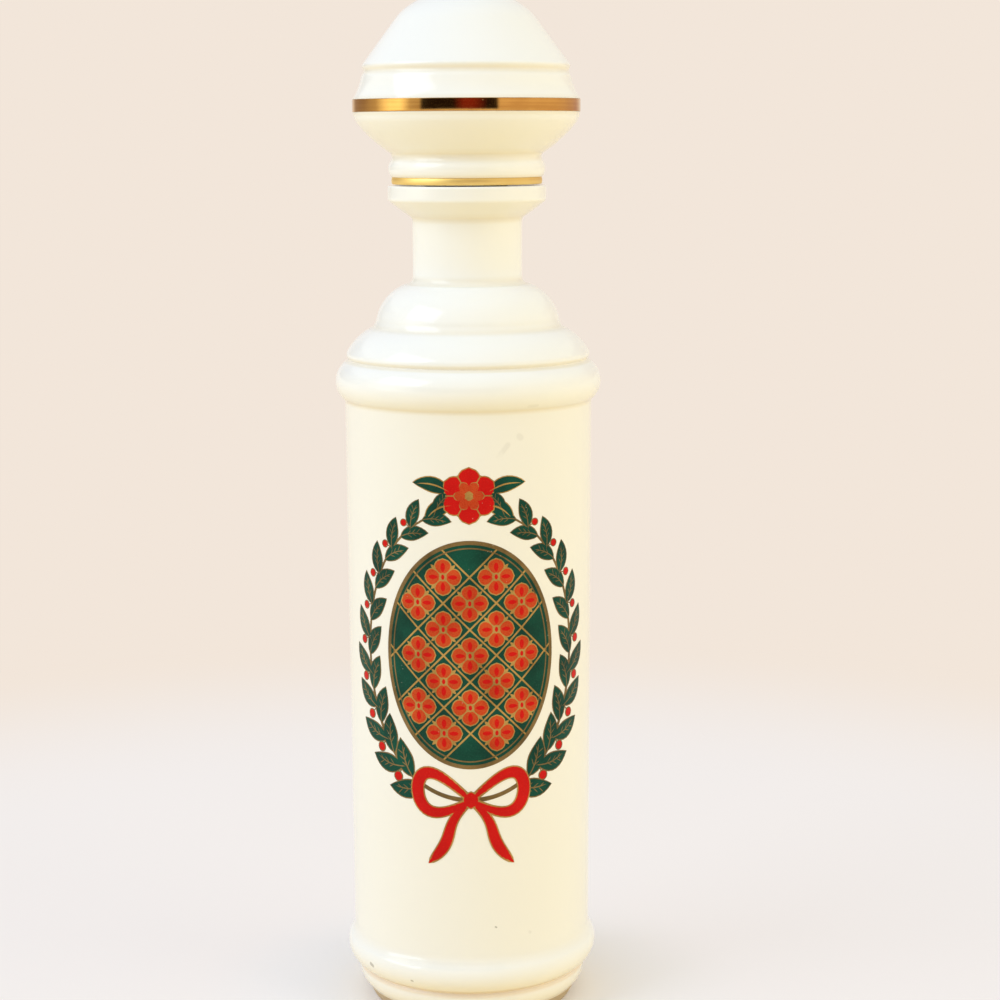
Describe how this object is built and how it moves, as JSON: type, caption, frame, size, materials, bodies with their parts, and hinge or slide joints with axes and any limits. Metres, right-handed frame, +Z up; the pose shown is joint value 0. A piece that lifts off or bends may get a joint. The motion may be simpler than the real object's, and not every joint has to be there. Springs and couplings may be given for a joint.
{
  "type": "liquor decanter with stopper",
  "caption": "Tall cylindrical white porcelain decanter with a ringed foot, a stepped shoulder, a collared neck and a domed, gilt-banded stopper on a cork.",
  "frame": {"origin": "middle of the foot, on the surface that the decanter stands on", "axes": "+Z up along the axis that every piece is turned about, -Y towards the decorated front, +X to the viewer's right"},
  "size_m": [0.0862, 0.0862, 0.3318],
  "materials": {
    "porcelain": "gloss",
    "gilding": "gloss",
    "cork": "matte",
    "glue": "satin",
    "green_enamel": "gloss",
    "red_enamel": "gloss"
  },
  "bodies": {
    "decanter": {"decanter_body": "porcelain"},
    "stopper": {"stopper_head": "porcelain", "stopper_cork": "cork", "cork_glue": "glue", "gilt_foot_line": "gilding", "gilt_band": "gilding"}
  },
  "joints": [
    {"name": "stopper_lift", "type": "slide", "parent": "decanter", "child": "stopper", "axis": [0, 0, 1], "range_m": [0, 0.06]}
  ]
}
